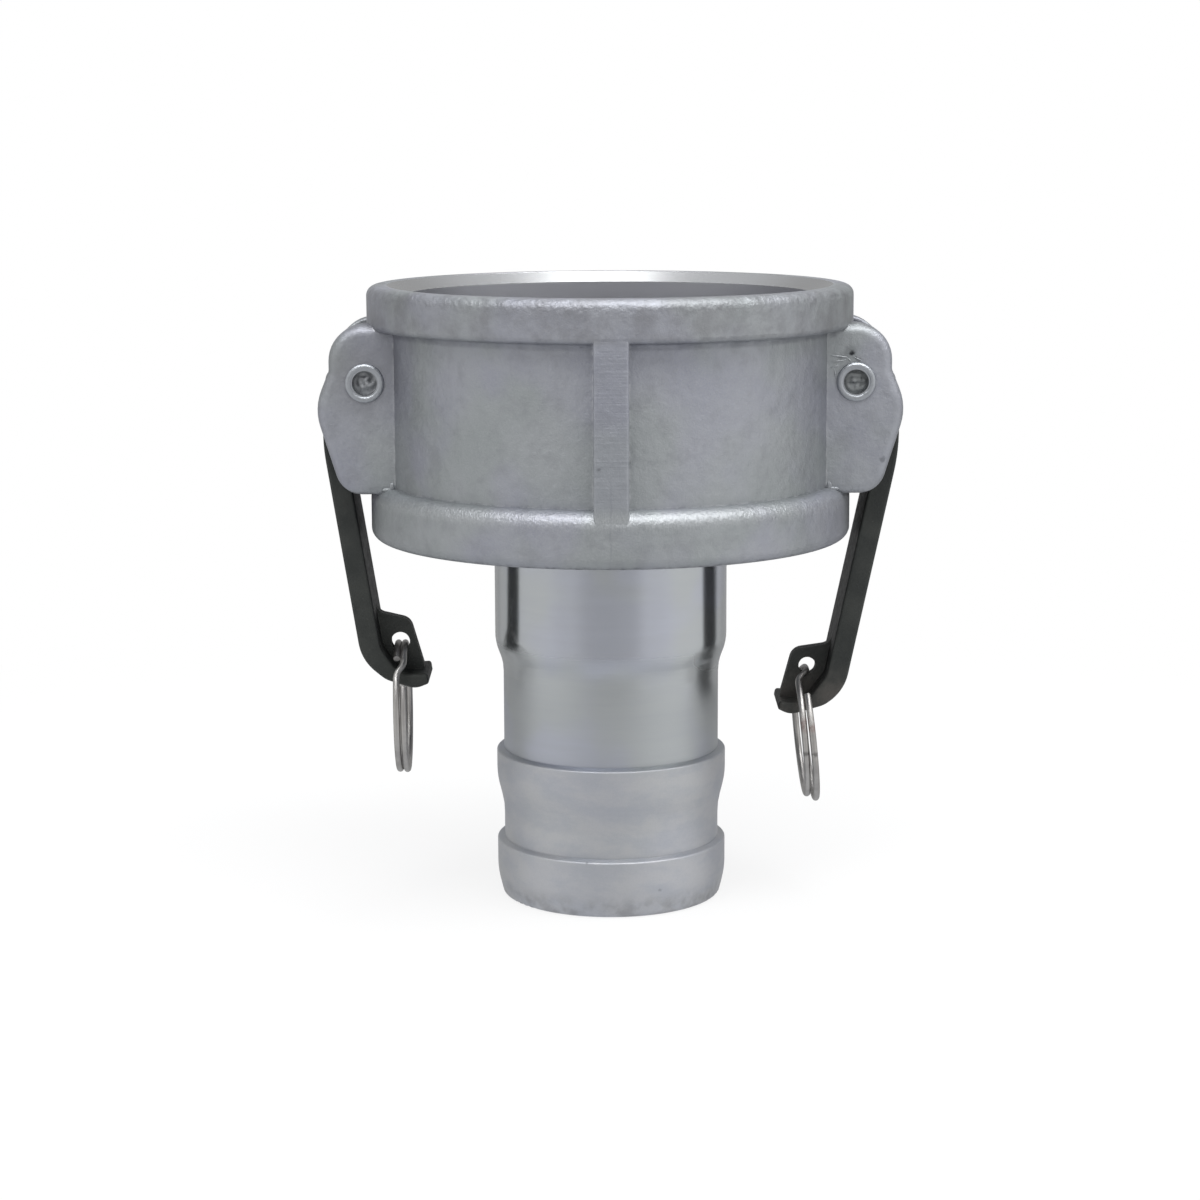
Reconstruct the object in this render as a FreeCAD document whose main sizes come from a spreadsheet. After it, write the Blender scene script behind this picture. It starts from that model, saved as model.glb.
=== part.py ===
import FreeCAD, Part
import math
import os
import Sketcher
from FreeCAD import Placement, Rotation, Vector
from types import SimpleNamespace

# Cam and groove coupler: a three inch socket on a two inch hose shank.
# Millimetres. The origin is the centre of the shank's end face, +Z runs up to the mouth,
# X runs through the two levers and -Y is the front.

# Driving sizes: name, value, meaning
SIZES = (
    ("shank_length", 83.5, "shank, from its end face to the band"),
    ("band_height", 12.5, "height of the band round the gasket seat"),
    ("pin_rise", 23.5, "hinge axes above the band"),
    ("rim_rise", 11.4, "step under the mouth rim above the hinge axes"),
    ("rim_height", 9.3, "height of the mouth rim"),
    ("socket_radius", 46.1, "socket bore"),
    ("lead_in_width", 3.9, "widening of the socket at its mouth"),
    ("lead_in_depth", 2.3, "depth of that lead-in"),
    ("barrel_wall", 4.3, "wall of the barrel between rim and band"),
    ("barrel_cove", 1.4, "cove under the mouth rim"),
    ("rim_step", 4.2, "mouth rim outside the barrel"),
    ("rim_top_round", 2.2, "round on the rim's top outer edge"),
    ("rim_low_round", 1.3, "round on the rim's lower edge"),
    ("band_step", 3.8, "band outside the barrel"),
    ("band_ledge", 0.4, "flat left on the band's top, inside its round"),
    ("band_bottom_round", 2.4, "round on the band's lower edge"),
    ("bore_radius", 22.0, "bore through the shank"),
    ("bore_entry", 3.0, "chamfer from the socket's floor into the bore"),
    ("bore_exit", 0.8, "chamfer of the bore at the shank's end"),
    ("shank_wall", 2.65, "wall of the shank between its barbs"),
    ("collar_step", 1.85, "plain collar outside the shank's root"),
    ("collar_length", 24.6, "plain collar below the band"),
    ("collar_taper", 4.9, "length of the taper below the collar"),
    ("collar_blend", 11.0, "round at both ends of that taper"),
    ("barb_step", 1.65, "crest of a barb outside the root"),
    ("barb_lip", 0.5, "slope of a barb's upper step"),
    ("barb_edge_round", 0.45, "round on the barbs' upper edges"),
    ("barb_blend", 18.0, "round at the ends of a barb's taper"),
    ("barb_pitch", 20.9, "top of the upper barb above that of the lower one"),
    ("upper_barb_crest", 6.4, "straight length of the upper barb's crest"),
    ("upper_barb_taper", 6.3, "length of the taper below the upper barb"),
    ("lower_barb_top", 12.9, "height of the lower barb's crest"),
    ("lower_barb_crest", 7.7, "straight length of the lower barb's crest"),
    ("shank_end_step", 0.35, "shank's end outside the root, before its round"),
    ("shank_end_round", 0.9, "round on the shank's end edge"),
    ("seat_thickness", 6.1, "floor of the socket under the gasket"),
    ("recess_step", 1.5, "gasket recess outside the socket bore"),
    ("gasket_width", 9.15, "width of the gasket's ring"),
    ("gasket_thickness", 6.35, "thickness of the gasket"),
    ("gasket_edge_round", 0.6, "round on the gasket's edges"),
    ("gasket_side_gap", 0.35, "gap between gasket and recess wall"),
    ("gasket_headroom", 0.6, "gap above the gasket in its recess"),
    ("slot_half_width", 8.5, "half the slot between a pair of ears"),
    ("ear_thickness", 8.0, "thickness of one ear"),
    ("ear_root", 2.1, "inner end of an ear within the socket bore, before that is cut"),
    ("ear_top_rise", 1.3, "top of an ear above the step under the rim"),
    ("ear_upper_reach", 8.05, "side of an ear's upper lobe from the hinge axis"),
    ("ear_notch_rise", 2.6, "notch between the lobes above the hinge axis"),
    ("ear_bulge_reach", 11.4, "corner of an ear's lower lobe from the hinge axis"),
    ("ear_bulge_drop", 5.7, "that corner below the hinge axis"),
    ("ear_foot_reach", 5.4, "lower corner of an ear from the hinge axis"),
    ("ear_foot_drop", 1.4, "bottom of an ear below the band's top"),
    ("ear_top_round", 8.0, "round of the upper lobe"),
    ("ear_bulge_round", 12.0, "round of the lower lobe"),
    ("ear_foot_round", 6.0, "round of the lower corner"),
    ("ear_notch_round", 1.5, "round in the notch"),
    ("ear_edge_round", 2.2, "round on an ear's outer edges"),
    ("ear_slot_edge_round", 0.6, "round on an ear's slot edges"),
    ("rib_width", 7.5, "width of the front and back ribs"),
    ("rib_inset", 0.15, "rib face behind the rim and the band"),
    ("rib_depth", 8.0, "depth of a rib, most of it in the wall"),
    ("rib_overlap", 4.0, "length of a rib's ends within rim and band"),
    ("rib_edge_round", 0.7, "round on a rib's edges"),
    ("window_drop", 15.2, "bottom of a cam's window below the hinge axis"),
    ("window_rise", 9.4, "top of a cam's window above the hinge axis"),
    ("window_round", 1.5, "corners of a window"),
    ("pin_standoff", 3.7, "hinge axis outside the barrel"),
    ("pin_radius", 3.97, "hinge pin"),
    ("pin_proud", 0.5, "length of pin outside an ear"),
    ("pin_flare", 0.32, "widening of the pin's staked ends"),
    ("pin_flare_round", 0.3, "round on the staked ends"),
    ("pin_recess_radius", 2.75, "hollow in a pin's end"),
    ("pin_recess_depth", 2.4, "depth of that hollow"),
    ("pin_recess_dome", 0.7, "rise of the hollow's floor at its centre"),
    ("pin_ear_clearance", 0.03, "radial gap between pin and ear"),
    ("pin_lever_clearance", 0.06, "radial gap between pin and lever"),
    ("lever_side_gap", 0.3, "gap between a lever's head and an ear"),
    ("lever_width", 16.0, "width of a lever's arm"),
    ("arm_thickness", 4.8, "thickness of a lever's arm"),
    ("hub_radius", 7.6, "hub of a lever round its pin"),
    ("cam_offset", 8.0, "centre of the cam nose from the pin"),
    ("cam_radius", 6.0, "radius of the cam nose"),
    ("heel_reach", 8.8, "corner of a lever's heel from the pin"),
    ("heel_height", 4.0, "heel above the pin"),
    ("heel_round", 3.5, "round of the heel"),
    ("knee_drop", 11.8, "bend of the arm below the pin"),
    ("knee_round", 45.0, "round of that bend"),
    ("gusset_drop", 20.0, "end of the thick root of the arm below the pin"),
    ("gusset_reach", 2.5, "start of the arm's inner side, in the hub"),
    ("gusset_start", 6.5, "the same point's distance below the pin"),
    ("ankle_round", 10.5, "first round of the foot's outer curve"),
    ("chin_drop", 7.2, "middle corner of the foot's outer curve below the eye"),
    ("chin_round", 6.0, "round of that corner"),
    ("ball_inset", 10.9, "lowest corner of the foot from the arm's face"),
    ("ball_round", 4.4, "round of the lowest corner"),
    ("toe_round", 0.7, "round of the foot's tip"),
    ("instep_inset", 8.1, "inner corner of the foot from the arm's face"),
    ("instep_round", 5.0, "round of the inner corner"),
    ("arm_edge_round", 0.7, "round on the arm's long edges"),
    ("web_thickness", 3.0, "web that holds the eye"),
    ("web_corner_round", 3.0, "round of the web's upper corner"),
    ("web_root_rise", 3.9, "web's top above that corner, inside the arm"),
    ("web_foot_inset", 13.6, "web's inner edge at the foot"),
    ("web_cove", 2.5, "cove between web and arm"),
    ("eye_inset", 8.9, "eye for the ring from the arm's face"),
    ("left_arm_offset", 12.52, "outer face of the left arm from its pin"),
    ("left_reach", 60.8, "left eye below the pin, along the arm"),
    ("left_tilt", 9.0, "lean of the left arm towards the shank, degrees"),
    ("left_ankle_drop", 1.95, "start of the left foot's outer curve below the eye"),
    ("left_chin_inset", 4.7, "middle corner of that curve from the arm's face"),
    ("left_ball_drop", 10.35, "lowest corner of the left foot below the eye"),
    ("left_sole_drop", 9.6, "underside of the left foot's tip below the eye"),
    ("left_foot_reach", 14.25, "left foot's tip from the arm's face"),
    ("left_foot_thickness", 2.4, "thickness of the left foot at its tip"),
    ("left_instep_drop", 6.6, "inner corner of the left foot below the eye"),
    ("left_instep_run", 6.7, "inner curve of the left foot, along the arm"),
    ("left_web_inset", 11.95, "upper corner of the left web from the arm's face"),
    ("left_web_rise", 4.7, "upper corner of the left web above the eye"),
    ("left_eye_radius", 2.15, "left eye for the ring"),
    ("right_arm_offset", 13.76, "outer face of the right arm from its pin"),
    ("right_reach", 67.0, "right eye below the pin, along the arm"),
    ("right_tilt", 11.93, "lean of the right arm towards the shank, degrees"),
    ("right_ankle_drop", 3.0, "start of the right foot's outer curve below the eye"),
    ("right_chin_inset", 3.8, "middle corner of that curve from the arm's face"),
    ("right_ball_drop", 10.95, "lowest corner of the right foot below the eye"),
    ("right_sole_drop", 10.15, "underside of the right foot's tip below the eye"),
    ("right_foot_reach", 14.0, "right foot's tip from the arm's face"),
    ("right_foot_thickness", 1.8, "thickness of the right foot at its tip"),
    ("right_instep_drop", 7.4, "inner corner of the right foot below the eye"),
    ("right_instep_run", 6.9, "inner curve of the right foot, along the arm"),
    ("right_web_inset", 12.95, "upper corner of the right web from the arm's face"),
    ("right_web_rise", 3.0, "upper corner of the right web above the eye"),
    ("right_eye_radius", 1.95, "right eye for the ring"),
    ("ring_radius", 14.5, "centre line of a split ring"),
    ("wire_radius", 0.75, "wire of a split ring"),
    ("turn_gap", 0.05, "gap between a ring's two turns"),
    ("ring_eye_gap", 0.12, "gap between a ring and its eye"),
    ("ring_bend_start", 322.0, "start of a ring's bend towards its eye, degrees"),
    ("ring_bend_end", 350.0, "end of that bend, degrees"),
    ("left_wire_start", 61.0, "left ring's first wire end, degrees from its top"),
    ("left_wire_end", 31.0, "its last wire end, degrees, two turns on"),
    ("left_crossing_start", 34.0, "start of the left ring's crossing, degrees"),
    ("left_crossing_end", 53.0, "end of the left ring's crossing, degrees"),
    ("left_ring_bend", 0.0, "wire in the left eye from the ring's first turn, along X"),
    ("left_ring_shift", 0.1, "left ring's middle from its eye's centre, along X"),
    ("left_ring_lean", 0.5, "lean of the left ring's lower side towards +X, degrees"),
    ("left_ring_turn", 1.2, "turn of the left ring about the upright, degrees"),
    ("left_ring_splay", 0.2, "opening between the left ring's turns, degrees"),
    ("left_ring_growth", 0.05, "radius of the left ring's first turn, more than the second's"),
    ("right_wire_start", 43.0, "right ring's first wire end, degrees from its top"),
    ("right_wire_end", -12.0, "its last wire end, degrees, two turns on"),
    ("right_crossing_start", 5.0, "start of the right ring's crossing, degrees"),
    ("right_crossing_end", 30.0, "end of the right ring's crossing, degrees"),
    ("right_ring_bend", 0.8, "wire in the right eye from the ring's first turn, along X"),
    ("right_ring_shift", -1.9, "right ring's middle from its eye's centre, along X"),
    ("right_ring_lean", 5.2, "lean of the right ring's lower side towards +X, degrees"),
    ("right_ring_turn", 0.6, "turn of the right ring about the upright, degrees"),
    ("right_ring_splay", 0.8, "opening between the right ring's turns, degrees"),
    ("right_ring_growth", 0.6, "radius of the right ring's first turn, more than the second's"),
)

NEAR = 0.01  # how close two positions are when they name the same edge

doc = FreeCAD.newDocument("cam_and_groove_coupler")
sheet = doc.addObject("Spreadsheet::Sheet", "sizes")
for row, (alias, value, meaning) in enumerate(SIZES, start=1):
    sheet.set("A%d" % row, meaning)
    sheet.set("B%d" % row, str(value))
    sheet.setAlias("B%d" % row, alias)
doc.recompute()


class Length:
    """A size as a number, with the formula that ties it to the sheet."""

    def __init__(self, number, formula):
        self.number = number
        self.formula = formula

    def joined(self, other, sign, number):
        """The formula of two sizes joined by an arithmetic sign."""
        text = other.formula if isinstance(other, Length) else repr(other)
        return Length(number, "(%s %s %s)" % (self.formula, sign, text))

    def __add__(self, other):
        return self.joined(other, "+", self.number + number_of(other))

    def __sub__(self, other):
        return self.joined(other, "-", self.number - number_of(other))

    def __mul__(self, other):
        return self.joined(other, "*", self.number * number_of(other))

    def __truediv__(self, other):
        return self.joined(other, "/", self.number / number_of(other))

    def __neg__(self):
        return self * -1


def number_of(size):
    return size.number if isinstance(size, Length) else size


s = SimpleNamespace(**{alias: Length(float(sheet.get(alias)), "sizes." + alias) for alias, _, _ in SIZES})


# Building blocks

def set_size(item, name, size):
    """Gives a property its size and ties it to the sheet."""
    setattr(item, name, size.number)
    item.setExpression(name, size.formula)


def new_body(name):
    return doc.addObject("PartDesign::Body", name)


def sketch_on(body, role, name, offset=None):
    """A sketch on one of the body's origin planes, moved along that plane's normal."""
    plane = next(item for item in body.Origin.OriginFeatures if item.Role == role)
    sketch = body.newObject("Sketcher::SketchObject", name)
    sketch.AttachmentSupport = [(plane, "")]
    sketch.MapMode = "FlatFace"
    if offset is not None:
        sketch.AttachmentOffset = Placement(Vector(0, 0, offset.number), Rotation())
        sketch.setExpression("AttachmentOffset.Base.z", offset.formula)
    return sketch


def tie_datum(sketch, constraint, size, name):
    """Adds a dimension to the sketch and ties it to the sheet."""
    index = sketch.addConstraint(constraint)
    sketch.renameConstraint(index, name)
    sketch.setExpression("Constraints." + name, size.formula)


def tie_point(sketch, geometry, point, x, y, name):
    """Ties a point of the sketch to its place; a plain zero puts it on the axis."""
    for kind, place, axis, letter in (("DistanceX", x, -2, "x"), ("DistanceY", y, -1, "y")):
        if isinstance(place, Length):
            datum = Sketcher.Constraint(kind, -1, 1, geometry, point, place.number)
            tie_datum(sketch, datum, place, "%s_%s" % (name, letter))
        else:
            sketch.addConstraint(Sketcher.Constraint("PointOnObject", geometry, point, axis))


def add_outline(sketch, corners):
    """A closed outline of straight edges through the corners."""
    points = [Vector(number_of(x), number_of(y), 0) for x, y in corners]
    count = len(points)
    for index, point in enumerate(points):
        sketch.addGeometry(Part.LineSegment(point, points[(index + 1) % count]), False)
    for index in range(count):
        sketch.addConstraint(Sketcher.Constraint("Coincident", index, 2, (index + 1) % count, 1))
    for index, (x, y) in enumerate(corners):
        tie_point(sketch, index, 1, x, y, "corner%d" % index)


def add_circle(sketch, x, y, radius):
    centre = Vector(number_of(x), number_of(y), 0)
    index = sketch.addGeometry(Part.Circle(centre, Vector(0, 0, 1), radius.number), False)
    tie_point(sketch, index, 3, x, y, "centre%d" % index)
    tie_datum(sketch, Sketcher.Constraint("Radius", index, radius.number), radius, "radius%d" % index)


def pad(body, sketch, name, length, both_ways=False):
    feature = body.newObject("PartDesign::Pad", name)
    feature.Profile = sketch
    set_size(feature, "Length", length)
    if both_ways:
        feature.SideType = "Symmetric"
    doc.recompute()
    return feature


def hole_through(body, sketch, name):
    feature = body.newObject("PartDesign::Pocket", name)
    feature.Profile = sketch
    feature.SideType = "Symmetric"
    feature.Type = "ThroughAll"
    doc.recompute()
    return feature


def revolve(body, sketch, name):
    """A full turn about the sketch's vertical axis."""
    feature = body.newObject("PartDesign::Revolution", name)
    feature.Profile = sketch
    feature.ReferenceAxis = (sketch, ["V_Axis"])
    feature.Angle = 360.0
    doc.recompute()
    return feature


def round_edges(body, feature, name, radius, chosen):
    """Rounds the chosen edges of the body's last feature."""
    edges = ["Edge%d" % n for n, edge in enumerate(feature.Shape.Edges, start=1) if chosen(edge)]
    if not edges:
        raise ValueError("no edge found for " + name)
    fillet = body.newObject("PartDesign::Fillet", name)
    fillet.Base = (feature, edges)
    set_size(fillet, "Radius", radius)
    doc.recompute()
    return fillet


def circle_at(radius, height):
    """Picks the circular edge of a turned shape."""
    def chosen(edge):
        curve = edge.Curve
        if not isinstance(curve, Part.Circle):
            return False
        same_radius = abs(curve.Radius - number_of(radius)) < NEAR
        return same_radius and abs(curve.Center.z - number_of(height)) < NEAR
    return chosen


def corner_at(x, z):
    """Picks the edge along Y that stands on a corner of an outline."""
    def chosen(edge):
        centre = edge.CenterOfMass
        box = edge.BoundBox
        along_y = box.XLength < NEAR and box.ZLength < NEAR
        return along_y and math.hypot(centre.x - number_of(x), centre.z - number_of(z)) < NEAR
    return chosen


def on_side(y, beyond=None):
    """Picks the edges that lie in a plane across Y, past a distance along X if one is given."""
    def chosen(edge):
        box = edge.BoundBox
        flat = box.YLength < NEAR and abs(box.Center.y - number_of(y)) < NEAR
        return flat and (beyond is None or edge.CenterOfMass.x > number_of(beyond) + NEAR)
    return chosen


def mirrored(source, name, normal):
    item = doc.addObject("Part::Mirroring", name)
    item.Source = source
    item.Normal = normal
    return item


# Heights, from the shank's end face up
band_bottom = s.shank_length
band_top = band_bottom + s.band_height
pin_height = band_top + s.pin_rise
rim_underside = pin_height + s.rim_rise
mouth_height = rim_underside + s.rim_height

# Radii, from the two bores outwards
barrel_radius = s.socket_radius + s.barrel_wall
rim_radius = barrel_radius + s.rim_step
band_radius = barrel_radius + s.band_step
pin_offset = barrel_radius + s.pin_standoff
root_radius = s.bore_radius + s.shank_wall
barb_radius = root_radius + s.barb_step
collar_radius = root_radius + s.collar_step

# The casting's turned outside
shank_end_radius = root_radius + s.shank_end_step
lower_crest_bottom = s.lower_barb_top - s.lower_barb_crest
upper_barb_top = s.lower_barb_top + s.barb_pitch
upper_crest_bottom = upper_barb_top - s.upper_barb_crest
upper_taper_foot = upper_crest_bottom - s.upper_barb_taper
collar_bottom = band_bottom - s.collar_length
collar_taper_foot = collar_bottom - s.collar_taper
turned = new_body("turned_outside")
outside_sketch = sketch_on(turned, "XZ_Plane", "outside_outline")
add_outline(outside_sketch, (
    (0, 0),
    (shank_end_radius, 0),
    (barb_radius, lower_crest_bottom),
    (barb_radius, s.lower_barb_top),
    (root_radius, s.lower_barb_top + s.barb_lip),
    (root_radius, upper_taper_foot),
    (barb_radius, upper_crest_bottom),
    (barb_radius, upper_barb_top),
    (root_radius, upper_barb_top + s.barb_lip),
    (root_radius, collar_taper_foot),
    (collar_radius, collar_bottom),
    (collar_radius, band_bottom),
    (band_radius, band_bottom),
    (band_radius, band_top),
    (barrel_radius, band_top),
    (barrel_radius, rim_underside),
    (rim_radius, rim_underside),
    (rim_radius, mouth_height),
    (0, mouth_height),
))
turned_shape = revolve(turned, outside_sketch, "turned_form")
for name, rounding, radius, height in (
    ("shank_end", s.shank_end_round, shank_end_radius, 0),
    ("lower_crest_blend", s.barb_blend, barb_radius, lower_crest_bottom),
    ("lower_barb_edge", s.barb_edge_round, barb_radius, s.lower_barb_top),
    ("upper_root_blend", s.barb_blend, root_radius, upper_taper_foot),
    ("upper_crest_blend", s.barb_blend, barb_radius, upper_crest_bottom),
    ("upper_barb_edge", s.barb_edge_round, barb_radius, upper_barb_top),
    ("collar_root_blend", s.collar_blend, root_radius, collar_taper_foot),
    ("collar_blend", s.collar_blend, collar_radius, collar_bottom),
    ("band_lower_edge", s.band_bottom_round, band_radius, band_bottom),
    ("band_upper_edge", s.band_step - s.band_ledge, band_radius, band_top),
    ("cove", s.barrel_cove, barrel_radius, rim_underside),
    ("rim_lower_edge", s.rim_low_round, rim_radius, rim_underside),
    ("rim_upper_edge", s.rim_top_round, rim_radius, mouth_height),
):
    turned_shape = round_edges(turned, turned_shape, name, rounding, circle_at(radius, height))

# One ear: two lobes, standing on the barrel beside the slot
ear_face = s.slot_half_width + s.ear_thickness
ear_root = s.socket_radius - s.ear_root
ear_foot = (pin_offset + s.ear_foot_reach, band_top - s.ear_foot_drop)
ear_bulge = (pin_offset + s.ear_bulge_reach, pin_height - s.ear_bulge_drop)
ear_notch = (pin_offset + s.ear_upper_reach, pin_height + s.ear_notch_rise)
ear_lobe = (pin_offset + s.ear_upper_reach, rim_underside + s.ear_top_rise)
ear = new_body("ear_front_right")
ear_sketch = sketch_on(ear, "XZ_Plane", "ear_outline", s.slot_half_width)
add_outline(ear_sketch, (
    (ear_root, ear_foot[1]), ear_foot, ear_bulge, ear_notch, ear_lobe, (ear_root, ear_lobe[1]),
))
ear_shape = pad(ear, ear_sketch, "ear_plate", s.ear_thickness)
for name, rounding, corner in (
    ("ear_foot", s.ear_foot_round, ear_foot),
    ("ear_bulge", s.ear_bulge_round, ear_bulge),
    ("ear_notch", s.ear_notch_round, ear_notch),
    ("ear_lobe", s.ear_top_round, ear_lobe),
):
    ear_shape = round_edges(ear, ear_shape, name, rounding, corner_at(*corner))
ear_shape = round_edges(ear, ear_shape, "ear_edge", s.ear_edge_round, on_side(-ear_face, ear_root))
ear_shape = round_edges(
    ear, ear_shape, "ear_slot_edge", s.ear_slot_edge_round, on_side(-s.slot_half_width, ear_root)
)
ear_back_right = mirrored(ear, "ear_back_right", Vector(0, 1, 0))
ear_front_left = mirrored(ear, "ear_front_left", Vector(1, 0, 0))
ear_back_left = mirrored(ear_front_left, "ear_back_left", Vector(0, 1, 0))

# The front rib, flush with the rim above and the band below, and its twin at the back
rib = new_body("rib_front")
rib_sketch = sketch_on(rib, "YZ_Plane", "rib_outline")
rib_foot = -(band_radius - s.rib_inset)
rib_head = -(rim_radius - s.rib_inset)
add_outline(rib_sketch, (
    (rib_foot + s.rib_depth, band_top - s.rib_overlap),
    (rib_foot, band_top - s.rib_overlap),
    (rib_head, rim_underside + s.rib_overlap),
    (rib_foot + s.rib_depth, rim_underside + s.rib_overlap),
))
rib_shape = pad(rib, rib_sketch, "rib_bar", s.rib_width, both_ways=True)


def long_outer_edge(edge):
    box = edge.BoundBox
    reaches = box.YMin < number_of(rib_head) + NEAR
    return reaches and box.XLength < NEAR and box.ZLength > number_of(s.rib_depth)


rib_shape = round_edges(rib, rib_shape, "rib_edge", s.rib_edge_round, long_outer_edge)
rib_back = mirrored(rib, "rib_back", Vector(0, 1, 0))

outside = doc.addObject("Part::MultiFuse", "casting_outside")
outside.Shapes = [
    turned, ear, ear_back_right, ear_front_left, ear_back_left, rib, rib_back
]

# The machined inside: lead-in, socket, gasket recess, floor and bore
seat_floor = band_bottom + s.seat_thickness
recess_radius = s.socket_radius + s.recess_step
recess_top = seat_floor + s.gasket_thickness + s.gasket_headroom
inside = new_body("inside_form")
inside_sketch = sketch_on(inside, "XZ_Plane", "inside_outline")
add_outline(inside_sketch, (
    (0, 0),
    (s.bore_radius + s.bore_exit, 0),
    (s.bore_radius, s.bore_exit),
    (s.bore_radius, seat_floor - s.bore_entry),
    (s.bore_radius + s.bore_entry, seat_floor),
    (recess_radius, seat_floor),
    (recess_radius, recess_top),
    (s.socket_radius, recess_top),
    (s.socket_radius, mouth_height - s.lead_in_depth),
    (s.socket_radius + s.lead_in_width, mouth_height),
    (0, mouth_height),
))
revolve(inside, inside_sketch, "inside_shape")

# The windows that let the cams into the socket: one bar across the barrel
window_bottom = pin_height - s.window_drop
window_top = pin_height + s.window_rise
windows = new_body("window_form")
window_sketch = sketch_on(windows, "YZ_Plane", "window_outline")
add_outline(window_sketch, (
    (-s.slot_half_width, window_bottom),
    (s.slot_half_width, window_bottom),
    (s.slot_half_width, window_top),
    (-s.slot_half_width, window_top),
))
window_shape = pad(windows, window_sketch, "window_bar", pin_offset * 2, both_ways=True)
round_edges(
    windows, window_shape, "window_corners", s.window_round,
    lambda edge: edge.BoundBox.XLength > number_of(pin_offset),
)


def pin_hole(name, side):
    """The hole for a hinge pin through a pair of ears."""
    hole = doc.addObject("Part::Cylinder", name)
    reach = ear_face + s.pin_proud
    set_size(hole, "Radius", s.pin_radius + s.pin_ear_clearance)
    set_size(hole, "Height", reach * 2)
    hole.Placement = Placement(Vector(), Rotation(Vector(1, 0, 0), 90))
    place_at(hole, pin_offset * side, reach, pin_height)
    return hole


def place_at(item, x, y, z):
    """Ties an item's place to the sheet."""
    base = Vector(number_of(x), number_of(y), number_of(z))
    item.Placement = Placement(base, item.Placement.Rotation)
    for letter, place in (("x", x), ("y", y), ("z", z)):
        if isinstance(place, Length):
            item.setExpression("Placement.Base." + letter, place.formula)


removed = doc.addObject("Part::MultiFuse", "casting_inside")
removed.Shapes = [inside, windows, pin_hole("left_pin_hole", -1), pin_hole("right_pin_hole", 1)]
coupler_body = doc.addObject("Part::Cut", "coupler_body")
coupler_body.Base = outside
coupler_body.Tool = removed

# The gasket, flat on the socket's floor
gasket_radius = recess_radius - s.gasket_side_gap
gasket_hole_radius = gasket_radius - s.gasket_width
gasket_top = seat_floor + s.gasket_thickness
gasket = new_body("gasket")
gasket_sketch = sketch_on(gasket, "XZ_Plane", "gasket_section")
add_outline(gasket_sketch, (
    (gasket_hole_radius, seat_floor),
    (gasket_radius, seat_floor),
    (gasket_radius, gasket_top),
    (gasket_hole_radius, gasket_top),
))
gasket_shape = revolve(gasket, gasket_sketch, "gasket_ring")
round_edges(
    gasket, gasket_shape, "gasket_edges", s.gasket_edge_round,
    lambda edge: isinstance(edge.Curve, Part.Circle),
)


def make_pin(name, side):
    """A hinge pin along Y, with a flared end and a hollow at each side."""
    pin = new_body(name)
    section = sketch_on(pin, "XY_Plane", name + "_section")
    end = ear_face + s.pin_proud
    floor = end - s.pin_recess_depth
    flared = s.pin_radius + s.pin_flare
    add_outline(section, (
        (0, floor + s.pin_recess_dome),
        (s.pin_recess_radius, floor),
        (s.pin_recess_radius, end),
        (flared, end),
        (flared, ear_face),
        (s.pin_radius, ear_face),
        (s.pin_radius, -ear_face),
        (flared, -ear_face),
        (flared, -end),
        (s.pin_recess_radius, -end),
        (s.pin_recess_radius, -floor),
        (0, -(floor + s.pin_recess_dome)),
    ))
    shape = revolve(pin, section, name + "_form")

    def staked_edge(edge):
        if not isinstance(edge.Curve, Part.Circle):
            return False
        outer = abs(edge.Curve.Radius - number_of(flared)) < NEAR
        return outer and abs(abs(edge.Curve.Center.y) - number_of(end)) < NEAR

    round_edges(pin, shape, name + "_staked_edge", s.pin_flare_round, staked_edge)
    place_at(pin, pin_offset * side, 0, pin_height)
    return pin


pin_left = make_pin("pin_left", -1)
pin_right = make_pin("pin_right", 1)


def lever_sizes(hand):
    """The sizes that differ between the two levers."""
    names = ("arm_offset", "reach", "tilt", "ankle_drop", "chin_inset", "ball_drop", "sole_drop",
             "foot_reach", "foot_thickness", "instep_drop", "instep_run", "web_inset", "web_rise",
             "eye_radius")
    return SimpleNamespace(**{name: getattr(s, hand + "_" + name) for name in names})


def add_cam_outline(sketch, side):
    """Hub and cam nose: two arcs joined by the lines that touch both."""
    hub, nose, offset = s.hub_radius.number, s.cam_radius.number, s.cam_offset.number
    swing = math.acos((hub - nose) / offset)
    towards = math.pi if side > 0 else 0.0
    upright = Vector(0, 0, 1)
    nose_centre = Vector(-side * offset, 0, 0)
    angles = (towards - swing, towards + swing)
    hub_arc = Part.ArcOfCircle(Part.Circle(Vector(), upright, hub), angles[1], angles[0] + 2 * math.pi)
    nose_arc = Part.ArcOfCircle(Part.Circle(nose_centre, upright, nose), angles[0], angles[1])
    sketch.addGeometry(hub_arc, False)
    sketch.addGeometry(nose_arc, False)
    for angle in angles:
        direction = Vector(math.cos(angle), math.sin(angle), 0)
        line = Part.LineSegment(direction * hub, nose_centre + direction * nose)
        sketch.addGeometry(line, False)
    sketch.addConstraint(Sketcher.Constraint("Coincident", 0, 3, -1, 1))
    tie_point(sketch, 1, 3, -s.cam_offset * side, 0, "nose")
    tie_datum(sketch, Sketcher.Constraint("Radius", 0, hub), s.hub_radius, "hub_radius")
    tie_datum(sketch, Sketcher.Constraint("Radius", 1, nose), s.cam_radius, "nose_radius")
    for line, hub_end, nose_end in ((2, 2, 1), (3, 1, 2)):
        sketch.addConstraint(Sketcher.Constraint("Tangent", line, 1, 0, hub_end))
        sketch.addConstraint(Sketcher.Constraint("Tangent", line, 2, 1, nose_end))


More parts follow.
